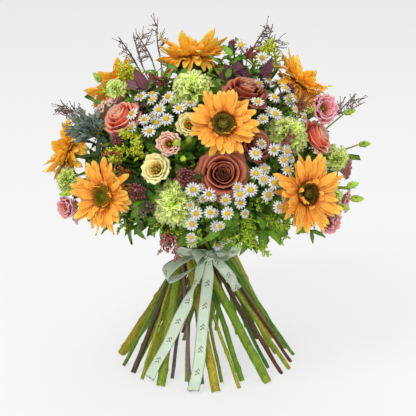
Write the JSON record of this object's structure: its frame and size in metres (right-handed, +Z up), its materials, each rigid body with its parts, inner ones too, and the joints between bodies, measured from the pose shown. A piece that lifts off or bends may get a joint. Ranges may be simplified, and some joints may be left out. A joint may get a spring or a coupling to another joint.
{
  "type": "mixed flower bouquet",
  "caption": "Hand-tied mixed bouquet of sunflowers, roses, carnations, lisianthus, chamomile, goldenrod and twigs, its spiral stems tied with a sage ribbon, standing on their cut ends.",
  "frame": {"origin": "on the surface that the stems stand on, under the middle of the whole bouquet", "axes": "+Z up along the axis of the bouquet, -Y towards the viewer of its front, where the bow is tied, +X to the viewer's right"},
  "size_m": [0.3856, 0.352, 0.414],
  "materials": {
    "sunflower_stem": "rough green stalk, hairy, with a dark brown seed disc at its head",
    "sunflower_rays": "soft petal, golden orange, matte with a slight sheen",
    "rose_bronze": "velvety petal, brown-red",
    "rose_coral": "velvety petal, coral pink",
    "rose_stem": "smooth green stem with glossy leaves",
    "carnation": "thin ruffled petal, lime green",
    "lisianthus_cream": "silky petal, cream",
    "lisianthus_pink": "silky petal, pale pink and green",
    "chamomile": "small white rays round a yellow centre",
    "goldenrod": "tiny yellow-green florets",
    "berries": "dull plum red berries",
    "twigs": "dry grey-brown twig",
    "dark_leaves": "dark purple leaf, satin",
    "blue_foliage": "grey-green leaf with a waxy bloom",
    "green_leaves": "fresh green leaf, satin",
    "twine": "coarse natural fibre",
    "ribbon": "pale sage satin-edged ribbon"
  },
  "bodies": {
    "root": {"berries_front": "berries", "berries_high": "berries", "berries_left": "berries", "binding_twine": "twine", "blue_foliage": "blue_foliage", "carnation_back": "carnation", "carnation_low": "carnation", "carnation_right": "carnation", "carnation_top": "carnation", "chamomile_back": "chamomile", "chamomile_high": "chamomile", "chamomile_left": "chamomile", "chamomile_low": "chamomile", "chamomile_right": "chamomile", "dark_leaves_left": "dark_leaves", "dark_leaves_right": "dark_leaves", "goldenrod_back": "goldenrod", "goldenrod_high": "goldenrod", "goldenrod_left": "goldenrod", "goldenrod_left_high": "goldenrod", "goldenrod_low": "goldenrod", "green_foliage": "green_leaves", "lisianthus_back": "lisianthus_cream", "lisianthus_front": "lisianthus_cream", "lisianthus_left_high": "lisianthus_pink", "lisianthus_left_low": "lisianthus_pink", "lisianthus_right": "lisianthus_pink", "lisianthus_right_low": "lisianthus_pink", "ribbon_bow": "ribbon", "rose_back_petals": "rose_bronze", "rose_back_stem": "rose_stem", "rose_front_petals": "rose_bronze", "rose_front_stem": "rose_stem", "rose_high_petals": "rose_bronze", "rose_high_stem": "rose_stem", "rose_left_petals": "rose_coral", "rose_left_stem": "rose_stem", "rose_middle_petals": "rose_bronze", "rose_middle_stem": "rose_stem", "rose_right_petals": "rose_coral", "rose_right_stem": "rose_stem", "sunflower_back_rays": "sunflower_rays", "sunflower_back_stem": "sunflower_stem", "sunflower_front_rays": "sunflower_rays", "sunflower_front_stem": "sunflower_stem", "sunflower_left_high_rays": "sunflower_rays", "sunflower_left_high_stem": "sunflower_stem", "sunflower_left_low_rays": "sunflower_rays", "sunflower_left_low_stem": "sunflower_stem", "sunflower_left_rays": "sunflower_rays", "sunflower_left_stem": "sunflower_stem", "sunflower_right_high_rays": "sunflower_rays", "sunflower_right_high_stem": "sunflower_stem", "sunflower_right_low_rays": "sunflower_rays", "sunflower_right_low_stem": "sunflower_stem", "sunflower_top_rays": "sunflower_rays", "sunflower_top_stem": "sunflower_stem", "twigs_left": "twigs", "twigs_left_high": "twigs", "twigs_right": "twigs"}
  },
  "joints": []
}
